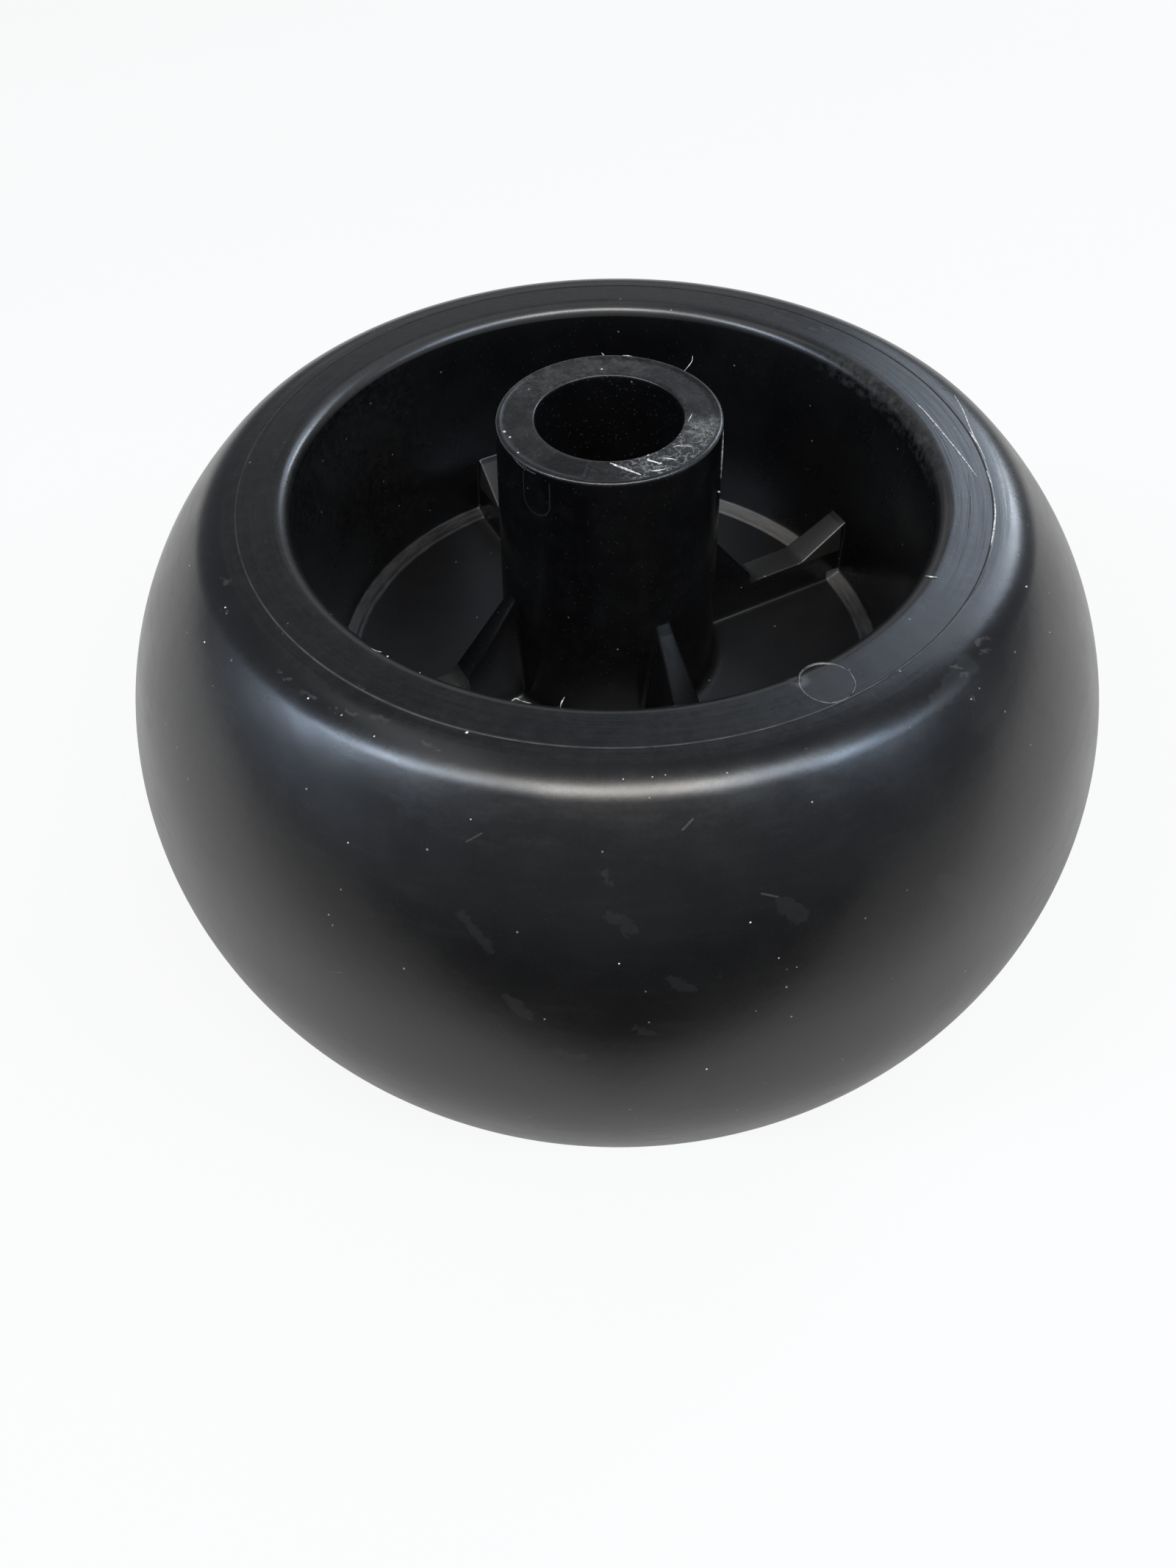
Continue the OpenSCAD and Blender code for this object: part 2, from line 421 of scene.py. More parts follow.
def strand(points, thick, count=24, sides=8, blunt=0.0):
    """A grid round a path. Each ring's points are the path's point plus the radius times the
    cosine and sine of the ring's angles along two directions square to the path. The radius
    swells from nothing at one end to half the thickness and back, as the square root of a sine;
    blunt keeps the second end at a share of that."""
    path = eased(np.asarray(points, float), count)
    along = np.gradient(path, axis=0)
    side = np.cross(along, [0.31, 0.17, 0.94])
    side /= np.linalg.norm(side, axis=1, keepdims=True)
    up = np.cross(side, along)
    up /= np.linalg.norm(up, axis=1, keepdims=True)
    s = np.linspace(0, 1, count)
    swell = np.sqrt(np.clip(np.sin(np.pi * s ** (1 + blunt)), 0, 1))
    swell[[0, -1]] = 0
    a = np.linspace(0, 2 * math.pi, sides, endpoint=False)
    ring = np.cos(a)[None, :, None] * side[:, None] + np.sin(a)[None, :, None] * up[:, None]
    grid = path[:, None] + thick / 2 * swell[:, None, None] * ring
    return grid, grid_faces(grid, close_cols=True)


def hub_line(azimuths, heights, proud=0.0):
    """Points on the hub's wall, a little proud of it."""
    return spot_on(hub_at(heights) + proud, azimuths, heights)


RIM = RIM_Z
wisps = add_mesh("trim_wisps", [
    strand(spot_on([13.05, 13.5, 14.3, 15.6, 17.0], [17.0, 17.5, 18.5, 20.5, 23.5],
                   [42.7, 42.75, 42.72, 42.6, 42.5]), 0.1),
    strand(spot_on([12.9, 13.3, 13.9], [64, 64, 65], [42.7, 42.74, 42.7]), 0.13),
    strand(spot_on([39.5, 38.9, 38.1], [234.0, 234.1, 234.4], [34.62, 34.74, 34.78]), 0.15),
    strand(spot_on([39.8, 39.0, 39.2, 39.4], [226.8, 227.1, 228.1, 229.7], [34.75, 34.5, 34.5, 34.58]), 0.08, 30),
    strand(spot_on([39.7, 39.6, 39.2], [202.0, 203.0, 203.6], [34.72, 34.66, 34.45]), 0.08),
    strand(spot_on([40.8, 40.1, 39.5], [302.0, 301.7, 301.9], [34.99, 34.94, 34.72]), 0.16),
    strand(hub_line([322.0, 322.8, 322.2, 322.6], [42.3, 40.0, 37.6, 35.0], 0.04), 0.14, 40),
    strand(spot_on([13.1, 13.16, 13.12], [54.6, 51.0, 47.6], 42.69), 0.3, 24),
    strand(spot_on([41.3, 41.46, 41.91, 42.59, 43.54], [351.0, 347.7, 339.3, 334.0, 328.7], RIM + 0.01), 0.17, 40),
    strand(on_skin([47.0, 46.2, 45.3, 45.2], [351.4, 346.8, 341.0, 333.0]), 0.15, 40),
    strand(spot_on([45.0, 45.02, 45.15], [341.0, 338.8, 336.6], RIM + 0.02), 0.22),
    strand(spot_on([44.8, 44.87, 44.95], [330.6, 328.4, 326.4], RIM + 0.02), 0.17),
    strand(spot_on([45.0, 44.98, 44.87, 44.85], [323.8, 319.8, 315.4, 312.2], RIM + 0.02), 0.22, 40),
    strand(spot_on([9.0, 9.8, 10.8, 12.5], [240.1, 246.0, 252.5, 259.9], END_Z - 0.2), 0.4, 40),
    strand(spot_on([9.5, 10.3, 11.2], [265.8, 269.5, 272.5], END_Z - 0.13), 0.26),
    strand(spot_on([11.5, 12.0, 12.2], [262.5, 267.0, 272.5], END_Z - 0.09), 0.16),
    strand(spot_on([10.3, 10.9, 11.8], [276.0, 279.5, 282.0], END_Z - 0.09), 0.16),
    strand(spot_on([9.6, 10.0, 11.4], [289.5, 293.5, 297.5], END_Z - 0.07), 0.1),
    strand(spot_on([9.2, 9.4, 9.7], [322.5, 327.5, 333.0], END_Z - 0.07), 0.1),
], weld=True)
print("trimming wisps:", len(wisps.data.polygons), "faces")

# %% Flash lines on the rim and the ejector pin's ring

flash = add_mesh("flash_lines", [
    strand(spot_on([12.6, 12.9, 13.25, 13.4], [172.0, 180.0, 188.0, 196.0], [42.7, 42.62, 42.4, 42.1]), 0.3, 30),
    strand(spot_on([13.2, 13.4, 13.45], [192.0, 198.0, 204.0], [42.5, 42.3, 42.3]), 0.24, 24),
    strand(on_skin([46.1, 46.5, 47.3], [353.4, 352.6, 352.2]), 0.12),
    strand(spot_on([45.0, 45.0, 45.0], [310.5, 304.0, 295.2], RIM + 0.005), 0.12, 40),
    strand(spot_on([42.6, 42.3, 42.2], [330.0, 322.0, 313.4], RIM), 0.1, 40),
], weld=True)
ring_at = np.linspace(0, 360, 96, endpoint=False)
across = np.array([[-0.16, -0.06], [-0.06, 0.035], [0.0, 0.055], [0.06, 0.035], [0.16, -0.06]])
MARK_R, MARK_AT = 2.8, spot_on(42.0, 272.5, RIM)
ring = MARK_AT + spot_on((MARK_R + across[:, 0])[:, None], ring_at[None], across[:, 1:])
ejector_ring = add_mesh("ejector_ring", [(ring, grid_faces(ring, close_cols=True, facing=(0, 0, 1)))])
print("flash lines:", len(flash.data.polygons), "faces; ejector ring:", len(ejector_ring.data.polygons))

# %% [markdown]
# ## The scar and its crumbs
# On the hub's end the gate was cut away, and the knife tore the plastic: a sharp border on one
# side, a folded ribbon, and rough flakes up to the bore. It is a thin sheet over the end face,
# with a height that adds random bumps of several sizes to a few ridges. It sinks below the face
# at its borders, so no edge of it shows where there is none on the real one.

# %% A smooth random height and the scar


def random_height(x, y, seed):
    """Smooth random values between 0 and 1: random numbers on whole coordinates, blended in
    between by an ease curve, 3 t squared minus 2 t cubed, in both directions."""
    table = np.random.default_rng(seed).random((64, 64))
    i, j = np.floor(x).astype(int), np.floor(y).astype(int)
    u, v = [(3 - 2 * w) * w * w for w in (x - i, y - j)]
    pick = [[table[(i + a) % 64, (j + b) % 64] for b in (0, 1)] for a in (0, 1)]
    return (1 - u) * ((1 - v) * pick[0][0] + v * pick[0][1]) + u * ((1 - v) * pick[1][0] + v * pick[1][1])


def ridge(points, start, end, width):
    """A ridge of height 1 along a straight line: a bell curve of the distance to the line
    between two points."""
    way = end - start
    t = np.clip(((points - start) @ way) / (way @ way), 0, 1)[..., None]
    gap = np.linalg.norm(points - start - t * way, axis=-1)
    return np.exp(-(gap / width) ** 2)


def scar_sheet():
    """Rows run out from the bore and columns round the axle. Height: rough bumps, more of them
    in the torn half, plus ridges, faded to below the face at the borders."""
    r = np.linspace(8.95, 12.95, 60)[:, None]
    azimuth = np.linspace(225.5, 336, 300)[None]
    flat = spot_on(r, azimuth, 0.0)[..., :2]
    x, y = flat[..., 0] * 1.7 + 40, flat[..., 1] * 1.7 + 40
    torn = np.clip((azimuth - 258) / 14, 0, 1) * np.clip((334 - azimuth) / 30, 0, 1) + 0 * r
    bumps = 0.5 * random_height(x, y, 1) + 0.3 * random_height(2.3 * x, 2.3 * y, 2)
    bumps += 0.28 * abs(random_height(4.1 * x, 4.1 * y, 3) - 0.5) * 2
    height = 0.012 + 0.02 * random_height(0.8 * x, 0.8 * y, 4) + torn * 0.13 * (bumps - 0.25)
    lines = (((8.9, 239), (10.2, 253), 0.16, 0.10), ((10.2, 253), (12.5, 260.5), 0.2, 0.11),
             ((9.1, 271), (10.1, 264), 0.25, 0.10), ((9.3, 288), (11.4, 296), 0.14, 0.09),
             ((11.5, 266), (12.7, 272), 0.25, 0.08), ((9.2, 300), (10.2, 310), 0.2, 0.06),
             ((11.3, 280), (12.4, 290), 0.2, 0.07), ((8.95, 228), (12.6, 227.5), 0.1, 0.045))
    for start, end, width, high in lines:
        height = np.maximum(height, high * ridge(flat, spot_on(*start, 0)[:2], spot_on(*end, 0)[:2], width))
    fade = np.clip((r - 8.95) / 0.15, 0, 1) * np.clip((12.8 - r) / 0.25, 0, 1)
    fade = fade * np.clip((azimuth - 226.2) / 0.8, 0, 1) * np.clip((334 - azimuth) / 8, 0, 1)
    z = END_Z - END_DISH + np.minimum(height, END_DISH - 0.005) * fade - 0.03 * (1 - fade)
    return np.concatenate([flat, z[..., None]], -1)


def crumb(centre, size, seed):
    """A closed lump: a ball's grid whose radius varies at random by a third, flattened."""
    rng = np.random.default_rng(seed)
    tilt, turn = np.linspace(0, math.pi, 7)[:, None], np.linspace(0, 2 * math.pi, 10, endpoint=False)[None]
    wild = 1 + 0.35 * (rng.random((7, 10)) - 0.5)
    wild[[0, -1]] = 1
    ball = np.stack([np.sin(tilt) * np.cos(turn), np.sin(tilt) * np.sin(turn), np.cos(tilt) + 0 * turn], -1)
    grid = centre + size / 2 * wild[..., None] * ball * [1.0, 0.8, 0.6]
    return grid, grid_faces(grid, close_cols=True)


sheet = scar_sheet()
scar = add_mesh("gate_scar", [(sheet, grid_faces(sheet, facing=(0, 0, 1)))])
CRUMBS = [(12.5, 165.3, 42.65, 0.55), (12.1, 171.1, 42.72, 0.36), (12.6, 186.0, 42.7, 0.36),
          (13.05, 198.0, 42.55, 0.4), (12.9, 205.5, 42.6, 0.24), (9.7, 267.6, 42.67, 0.5),
          (11.0, 272.3, 42.72, 0.4), (8.95, 270.7, 42.66, 0.34),
          (13.5, 316.5, 34.2, 0.34), (39.4, 205.1, 34.55, 0.24), (39.5, 211.5, 34.6, 0.2), (45.15, 223.1, RIM, 0.36), (11.2, 120.0, 42.7, 0.26),
          (10.1, 66.0, 42.7, 0.3), (12.9, 236.0, 42.6, 0.22),
          (55.9, 213.3, 0, 0.24), (57.8, 254.8, 0, 0.22), (59.8, 257.3, 0, 0.2),
          (60.4, 259.0, 0, 0.18), (59.2, 242.1, 0, 0.2), (63.2, 250.3, 0, 0.24),
          (49.56, 307.9, 0, 0.3), (51.0, 287.4, 0, 0.18), (49.6, 308.0, 0, 0.24), (53.3, 306.2, 0, 0.2),
          (50.8, 167.5, 0, 0.24), (48.4, 180.5, 0, 0.24), (51.7, 181.5, 0, 0.24),
          (48.2, 242.7, 0, 0.2), (48.1, 246.0, 0, 0.16), (48.0, 247.5, 0, 0.18),
          (48.5, 254.5, 0, 0.2), (52.1, 226.3, 0, 0.2), (51.9, 263.2, 0, 0.22),
          (48.5, 201.8, 0, 0.26), (48.2, 207.2, 0, 0.26), (48.6, 212.5, 0, 0.22)]
crumbs = add_mesh("trim_crumbs", [crumb(spot_on(r, a, z) if r < 41 else on_skin(r, a), size, 10 + i)
                                  for i, (r, a, z, size) in enumerate(CRUMBS)], weld=True)
for piece in (wisps, flash, ejector_ring, scar, crumbs):
    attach(piece, "root")
print("scar:", len(scar.data.polygons), "faces; crumbs:", len(crumbs.data.polygons), "faces")

# %% [markdown]
# ## The plastic
# The roller is black high-density polyethylene, injection moulded. Its skin copies the mould: a
# satin surface, nearly black, with broad soft highlights. What makes it look real is what lies on
# it: a slight orange peel, patches that are duller than others, fine turning marks on the rim
# from the cutter that made the mould, dust, smudges and scratches. Some masks paint light
# instead: painted highlights and sheen on a few edges and faces, and painted shade in the cup.
# Each of these is a mask between 0 and 1, worked out from the place on the roller in
# millimetres. Four sums then collect how pale, how dull and how high each mask makes the skin.

# %% Where a point lies on the roller


def places(tree):
    """The point in millimetres, its distance from the axle, its height, its height without the
    sign (so that both sides of the roller are alike), and its direction round the axle as a
    unit vector."""
    coords = add_node(tree, "ShaderNodeTexCoord")
    point = add_node(tree, "ShaderNodeVectorMath", {"operation": "SCALE"},
                     {0: coords.outputs["Object"], "Scale": 1000.0})
    flat = add_node(tree, "ShaderNodeVectorMath", {"operation": "MULTIPLY"}, {0: point, 1: (1, 1, 0)})
    r = add_node(tree, "ShaderNodeVectorMath", {"operation": "LENGTH"}, {0: flat}).outputs["Value"]
    z = add_node(tree, "ShaderNodeSeparateXYZ", {}, {0: point}).outputs["Z"]
    side = add_node(tree, "ShaderNodeMath", {"operation": "ABSOLUTE"}, {0: z})
    way = add_node(tree, "ShaderNodeVectorMath", {"operation": "NORMALIZE"}, {0: flat})
    return point, r, z, side, way


def product(tree, *masks):
    """The masks multiplied together."""
    out = masks[0]
    for mask in masks[1:]:
        out = add_node(tree, "ShaderNodeMath", {"operation": "MULTIPLY"}, {0: out, 1: mask})
    return out


def between(tree, value, low, high, soft):
    """1 where the value is between two limits, easing to 0 over a soft stretch outside them."""
    ease = {"interpolation_type": "SMOOTHSTEP"}
    rise = add_node(tree, "ShaderNodeMapRange", ease, {0: value, 1: low - soft, 2: low})
    fall = add_node(tree, "ShaderNodeMapRange", ease, {0: value, 1: high, 2: high + soft, 3: 1.0, 4: 0.0})
    return product(tree, rise, fall)


def sector(tree, way, azimuth, half, soft):
    """1 within half an angle of an azimuth, easing to 0 over a soft angle, all in degrees: the
    product of the unit vectors is the cosine of the angle between them."""
    a = math.radians(azimuth)
    near = add_node(tree, "ShaderNodeVectorMath", {"operation": "DOT_PRODUCT"},
                    {0: way, 1: (math.cos(a), math.sin(a), 0)}).outputs["Value"]
    return add_node(tree, "ShaderNodeMapRange", {"interpolation_type": "SMOOTHSTEP"},
                    {0: near, 1: math.cos(math.radians(half + soft)), 2: math.cos(math.radians(half))})


def blot(tree, point, centre, reach):
    """1 at a point of the roller, easing to 0 at a reach from it."""
    gap = add_node(tree, "ShaderNodeVectorMath", {"operation": "DISTANCE"},
                   {0: point, 1: tuple(centre)}).outputs["Value"]
    return add_node(tree, "ShaderNodeMapRange", {"interpolation_type": "SMOOTHSTEP"},
                    {0: gap, 1: 0.35 * reach, 2: reach, 3: 1.0, 4: 0.0})


def scratch(tree, point, start, end, width, firm=0.25):
    """1 along a straight line between two points: the share along the line, kept between 0 and
    1, gives the nearest place on it, and the mask falls off with the distance to that place,
    from a firm share of the width out to the width."""
    start, way = Vector(start), Vector(end) - Vector(start)
    away = add_node(tree, "ShaderNodeVectorMath", {"operation": "SUBTRACT"}, {0: point, 1: start})
    along = add_node(tree, "ShaderNodeVectorMath", {"operation": "DOT_PRODUCT"},
                     {0: away, 1: way / way.length_squared}).outputs["Value"]
    share = add_node(tree, "ShaderNodeClamp", {}, {0: along})
    foot = add_node(tree, "ShaderNodeVectorMath", {"operation": "SCALE"}, {0: way, "Scale": share})
    gap = add_node(tree, "ShaderNodeVectorMath", {"operation": "DISTANCE"}, {0: away, 1: foot}).outputs["Value"]
    return add_node(tree, "ShaderNodeMapRange", {}, {0: gap, 1: firm * width, 2: width, 3: 1.0, 4: 0.0})


def stretched(tree, way, round_scale, value, value_scale, detail=4.0):
    """Noise in long streaks round the axle: the direction changes slowly and the value fast."""
    turn = add_node(tree, "ShaderNodeVectorMath", {"operation": "SCALE"}, {0: way, "Scale": round_scale})
    rise = add_node(tree, "ShaderNodeMath", {"operation": "MULTIPLY"}, {0: value, 1: value_scale})
    lift = add_node(tree, "ShaderNodeCombineXYZ", {}, {2: rise})
    at = add_node(tree, "ShaderNodeVectorMath", {"operation": "ADD"}, {0: turn, 1: lift})
    return add_node(tree, "ShaderNodeTexNoise", {}, {"Vector": at, "Scale": 1.0, "Detail": detail, "Roughness": 0.62})


print("mask helpers are ready")

# %% Masks of the general skin


def skin_masks(tree, point, r, side, way):
    """Patches, grain, orange peel, dust, scuffs and streaks. Each row holds a mask and how much
    paler, duller and higher (in millimetres) it makes the skin."""
    mottle = add_node(tree, "ShaderNodeTexNoise", {}, {"Vector": point, "Scale": 0.11, "Detail": 5.0, "Roughness": 0.6})
    patches = add_node(tree, "ShaderNodeMapRange", {}, {0: mottle, 1: 0.36, 2: 0.68})
    grain = add_node(tree, "ShaderNodeTexNoise", {}, {"Vector": point, "Scale": 2.4, "Detail": 3.0})
    peel = add_node(tree, "ShaderNodeTexNoise", {}, {"Vector": point, "Scale": 0.45, "Detail": 2.0})
    cells = add_node(tree, "ShaderNodeTexVoronoi", {}, {"Vector": point, "Scale": 0.4})
    chosen = add_node(tree, "ShaderNodeSeparateColor", {}, {0: cells.outputs["Color"]})
    few = add_node(tree, "ShaderNodeMath", {"operation": "GREATER_THAN"}, {0: chosen, 1: 0.5})
    grains = add_node(tree, "ShaderNodeMapRange", {}, {0: cells.outputs["Distance"], 1: 0.03, 2: 0.06, 3: 1.0, 4: 0.0})
    fine = add_node(tree, "ShaderNodeTexVoronoi", {}, {"Vector": point, "Scale": 1.15})
    powder = add_node(tree, "ShaderNodeMapRange", {}, {0: fine.outputs["Distance"], 1: 0.05, 2: 0.13, 3: 1.0, 4: 0.0})
    inside = add_node(tree, "ShaderNodeMapRange", {}, {0: r, 1: 38.0, 2: 42.0, 3: 1.0, 4: 0.25})
    tread = add_node(tree, "ShaderNodeMapRange", {}, {0: r, 1: 46.5, 2: 49.0})
    scuffs = add_node(tree, "ShaderNodeMapRange", {}, {0: stretched(tree, way, 7.0, side, 0.8), 1: 0.52, 2: 0.72})
    return [
        (patches, 0.003, 0.05, 0.0),
        (grain, 0.0, 0.05, 0.0012),
        (peel, 0.0, 0.0, 0.016),
        (product(tree, grains, few), 0.4, 0.2, 0.0),
        (product(tree, powder, inside), 0.05, 0.0, 0.0),
        (product(tree, scuffs, tread), 0.002, 0.035, 0.0),
    ]


# %% Masks of the rim, the cup and the hub


def zone_masks(tree, point, r, z, side, way):
    """The finish of each zone: turning marks and the witness line on the rim, streaks on the
    sloped ring, drag marks under the mouth, the glossier cup and hub, and the cut hub end. Some
    rows are painted light: a painted highlight on the witness line's front, the sloped ring and
    the mouth's edge, a painted sheen on part of the rim and on the rib tops (with dust), painted
    light on the cup wall, a painted reflection on the hub, and the cup painted darker as painted
    shade."""
    rim = product(tree, between(tree, side, RIM_Z - 0.15, RIM_Z + 1, 0.2), between(tree, r, 40.0, 46.6, 0.4))
    marks = add_node(tree, "ShaderNodeMapRange", {}, {0: stretched(tree, way, 3.4, r, 3.4, 2.0), 1: 0.42, 2: 0.66})
    streaky = add_node(tree, "ShaderNodeMath", {"operation": "MAXIMUM"},
                       {0: sector(tree, way, 127, 14, 16), 1: sector(tree, way, 338, 22, 22)})
    line = product(tree, between(tree, r, LINE_R - 0.04, LINE_R + 0.04, 0.08), between(tree, side, RIM_Z - 0.02, 36, 0.1))
    broken = add_node(tree, "ShaderNodeMapRange", {}, {0: stretched(tree, way, 14.0, r, 0.0), 1: 0.35, 2: 0.7, 3: 0.25, 4: 1.0})
    front = sector(tree, way, 238, 38, 30)
    sloped = product(tree, between(tree, r, FLOOR_R - 0.1, FOOT_R - 0.1, 0.15), between(tree, side, 4.5, 6.2, 0.3))
    rays = add_node(tree, "ShaderNodeMapRange", {}, {0: stretched(tree, way, 14.0, r, 3.0), 1: 0.40, 2: 0.70})
    under_mouth = product(tree, between(tree, side, 27.0, 33.6, 5.0), between(tree, r, 37.0, 40.0, 0.5))
    below_mouth = product(tree, between(tree, side, 32.6, 34.5, 0.7), between(tree, r, 37.0, 40.2, 0.5))
    thin = add_node(tree, "ShaderNodeMapRange", {}, {0: stretched(tree, way, 46.0, side, 0.16), 1: 0.55, 2: 0.75})
    cup = add_node(tree, "ShaderNodeMapRange", {}, {0: r, 1: 38.6, 2: 39.6, 3: 1.0, 4: 0.0})
    cup_wall = product(tree, between(tree, r, 36.0, 39.6, 0.2), between(tree, side, 9.0, 34.2, 2.0))
    mouth_edge = product(tree, between(tree, r, 38.5, 40.3, 0.2), between(tree, side, 33.6, 34.85, 0.2))
    bore = product(tree, between(tree, r, 8.0, 8.8, 0.05), between(tree, side, 24.0, 42.2, 8.0))
    rib_top = product(tree, between(tree, side, 9.45, 13.6, 0.12), between(tree, r, 21.5, 36.2, 0.2))
    hub_wall = product(tree, between(tree, r, 12.0, 14.6, 0.2), between(tree, side, 0.0, 42.3, 0.2))
    end = product(tree, between(tree, side, 42.55, 43.0, 0.25), between(tree, r, 8.0, 13.4, 0.2))
    pitted = add_node(tree, "ShaderNodeTexNoise", {}, {"Vector": point, "Scale": 0.9, "Detail": 6.0, "Roughness": 0.7})
    pits = add_node(tree, "ShaderNodeMapRange", {}, {0: pitted, 1: 0.42, 2: 0.66})
    scraped = add_node(tree, "ShaderNodeTexNoise", {}, {"Vector": point, "Scale": 0.38, "Detail": 4.0, "Roughness": 0.7})
    scrapes = add_node(tree, "ShaderNodeMapRange", {}, {0: scraped, 1: 0.48, 2: 0.62})
    flecks = add_node(tree, "ShaderNodeTexVoronoi", {}, {"Vector": point, "Scale": 1.3})
    fleck = add_node(tree, "ShaderNodeMapRange", {}, {0: flecks.outputs["Distance"], 1: 0.1, 2: 0.2, 3: 1.0, 4: 0.0})
    above = add_node(tree, "ShaderNodeMath", {"operation": "GREATER_THAN"}, {0: z, 1: 0.0})
    torn = product(tree, end, above, sector(tree, way, 288, 26, 18), between(tree, r, 8.0, 12.5, 0.3))
    fibres = add_node(tree, "ShaderNodeTexNoise", {}, {"Vector": point, "Scale": 0.8, "Detail": 4.0, "Distortion": 0.9})
    torn_lines = between(tree, fibres, 0.495, 0.505, 0.035)
    return [
        (product(tree, rim, marks), 0.005, 0.03, 0.002),
        (product(tree, rim, pits), 0.008, 0.02, 0.0),
        # The rim is paler in a sector round 345 degrees: partly dust, partly a painted sheen.
        (product(tree, rim, sector(tree, way, 345, 20, 14)), 0.014, 0.0, 0.0),
        (product(tree, rim, marks, streaky), 0.0, 0.06, 0.004),
        (product(tree, line, broken), 0.05, 0.1, 0.0),
        # The witness line is painted paler on its upper side towards the front: a painted highlight.
        (product(tree, line, broken, front, above), 0.12, 0.0, 0.0),
        # The sloped ring is paler, partly its streaks and partly a painted highlight, and much paler round 15 degrees,
        # where a painted highlight lies.
        (sloped, 0.008, 0.1, 0.0),
        (product(tree, sloped, rays), 0.06, 0.06, 0.004),
        (product(tree, sloped, sector(tree, way, 15, 14, 18)), 0.18, 0.0, 0.0),
        # The mouth's rounded edge is painted paler, more so at the back round 90 degrees: a painted highlight.
        (mouth_edge, 0.014, 0.0, 0.0),
        (product(tree, mouth_edge, sector(tree, way, 90, 26, 30)), 0.04, 0.0, 0.0),
        # A paler pitted patch on the cup wall round 150 degrees: painted light.
        (product(tree, cup_wall, pits, sector(tree, way, 150, 34, 20)), 0.014, 0.0, 0.0),
        (product(tree, under_mouth, thin, pits, sector(tree, way, 344, 14, 18)), 0.03, 0.1, 0.0),
        (product(tree, below_mouth, sector(tree, way, 352, 12, 14), pits), 0.065, 0.1, 0.0),
        # The whole inside of the cup, hub and bore included, is painted a little darker: painted shade.
        (cup, -0.002, 0.02, 0.0),
        (product(tree, bore, fleck), 0.045, 0.0, 0.0),
        (product(tree, cup, between(tree, side, 4.5, 5.6, 0.3)), 0.0, 0.12, 0.0),
        # The upper hub wall is paler round 266 degrees: a painted reflection.
        (product(tree, hub_wall, sector(tree, way, 266, 26, 12), between(tree, side, 24.0, 43.0, 8.0)), 0.005, 0.0, 0.0),
        # Paler tops of the ribs and gussets: partly dust, partly a painted sheen.
        (rib_top, 0.036, 0.05, 0.0),
        (hub_wall, 0.0, -0.06, 0.0),
        (product(tree, hub_wall, scrapes), 0.003, 0.03, 0.0),
        (product(tree, end, pits), 0.005, 0.03, 0.008),
        (product(tree, end, scrapes), 0.016, 0.04, 0.0),
        (product(tree, end, fleck), 0.04, 0.0, 0.006),
        (product(tree, end, above, sector(tree, way, 80, 34, 22), pits), 0.06, 0.04, 0.0),
        (product(tree, end, above, sector(tree, way, 216, 11, 4)), -0.03, -0.08, 0.0),
        (torn, 0.015, 0.05, 0.0),
        (product(tree, torn, torn_lines), 0.28, 0.1, 0.03),
        (product(tree, end, above, blot(tree, point, spot_on(10.8, 318, END_Z), 3.9), pits), 0.2, 0.1, 0.0),
    ]


# %% Masks of single marks
SMUDGES = [  # start and end, each a distance, azimuth and height, and the half width
    ((57.7, 226.8, 22.7), (59.1, 229.7, 19.8), 0.9), ((56.8, 241.2, 24.2), (57.7, 243.3, 22.7), 0.9),
    ((54.4, 240.6, 27.8), (55.0, 241.4, 26.9), 0.6), ((61.1, 231.6, 14.8), (61.6, 233.8, 13.1), 0.9),
    ((60.1, 247.1, 17.5), (60.5, 248.9, 16.4), 0.9), ((62.7, 236.4, 8.3), (62.9, 238.8, 7.7), 0.8),
    ((61.9, 243.6, 11.9), (62.1, 245.4, 11.4), 0.7), ((57.2, 258.2, 23.4), (58.2, 259.9, 21.7), 1.3),
    ((49.6, 283.0, 33.3), (48.8, 290.0, 33.8), 1.7), ((54.0, 296.0, 28.0), (57.0, 298.5, 24.0), 1.2),
    ((61.5, 200.0, 13.5), (62.3, 204.5, 10.0), 1.6), ((59.5, 276.0, 19.0), (61.5, 281.0, 13.0), 1.8),
    ((62.0, 98.0, 12.0), (62.9, 103.0, 8.0), 1.4), ((58.5, 38.0, 22.0), (60.5, 43.0, 18.0), 1.6),
    ((57.0, 140.0, -24.0), (59.0, 144.0, -20.0), 1.5), ((61.0, 329.0, -15.0), (61.8, 334.0, -12.5), 1.3),
]
SCRATCHES = [  # start and end, each a distance, azimuth and height, and the width in millimetres
    ((52.0, 248.8, 30.8), (51.4, 250.0, 31.5), 0.14), ((56.4, 256.2, 24.8), (56.8, 257.8, 24.2), 0.14),
    ((53.5, 226.2, 28.9), (52.8, 227.7, 29.8), 0.12), ((49.6, 262.8, 32.6), (49.9, 264.4, 32.3), 0.14),
    ((59.9, 251.0, 18.6), (60.2, 251.6, 17.5), 0.12), ((62.3, 212.0, 10.0), (62.1, 214.5, 11.4), 0.1),
    ((37.4, 4.0, 20.5), (37.2, 12.0, 17.0), 0.16), ((61.2, 160.0, 14.0), (61.9, 163.0, 11.0), 0.14),
    ((59.0, 60.0, -21.0), (59.8, 63.0, -19.0), 0.14), ((62.9, 20.0, 6.0), (63.1, 22.0, 4.0), 0.14),
]
